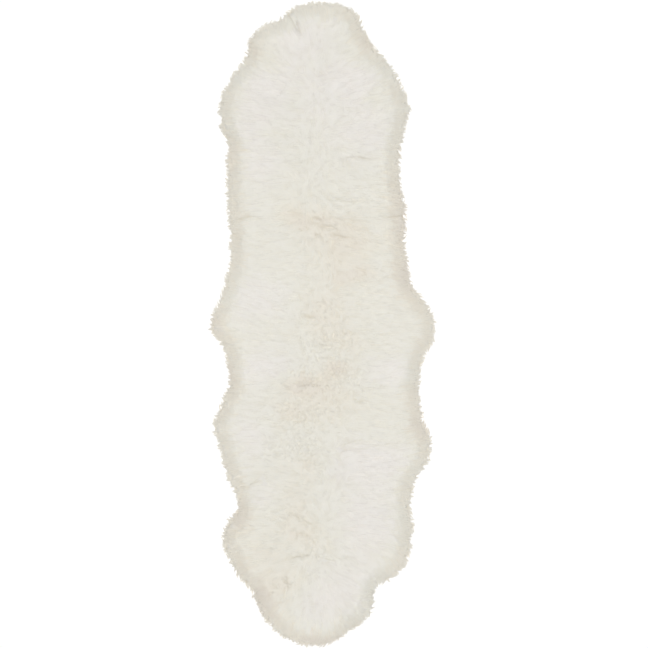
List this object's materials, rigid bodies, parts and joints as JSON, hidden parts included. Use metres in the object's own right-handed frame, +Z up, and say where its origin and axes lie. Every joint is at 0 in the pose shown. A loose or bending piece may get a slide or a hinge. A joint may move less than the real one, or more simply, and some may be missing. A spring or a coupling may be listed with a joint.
{
  "type": "sheepskin rug",
  "caption": "Natural-shape sheepskin rug of pelts sewn butt to butt, with long ivory wool that lies outwards over a flat suede hide.",
  "frame": {"origin": "on the ground below the middle of the rug", "axes": "+X across the rug, +Y along the rug from the short pelt to the long pelt, +Z up, away from the floor, out of the wool"},
  "size_m": [0.6362, 1.7982, 0.0499],
  "materials": {
    "wool": "long soft ivory wool pile, matt with a faint silky sheen",
    "suede": "pale tanned suede, the hide's underside"
  },
  "bodies": {
    "root": {"long_pelt": "wool", "short_pelt": "wool"}
  },
  "joints": []
}
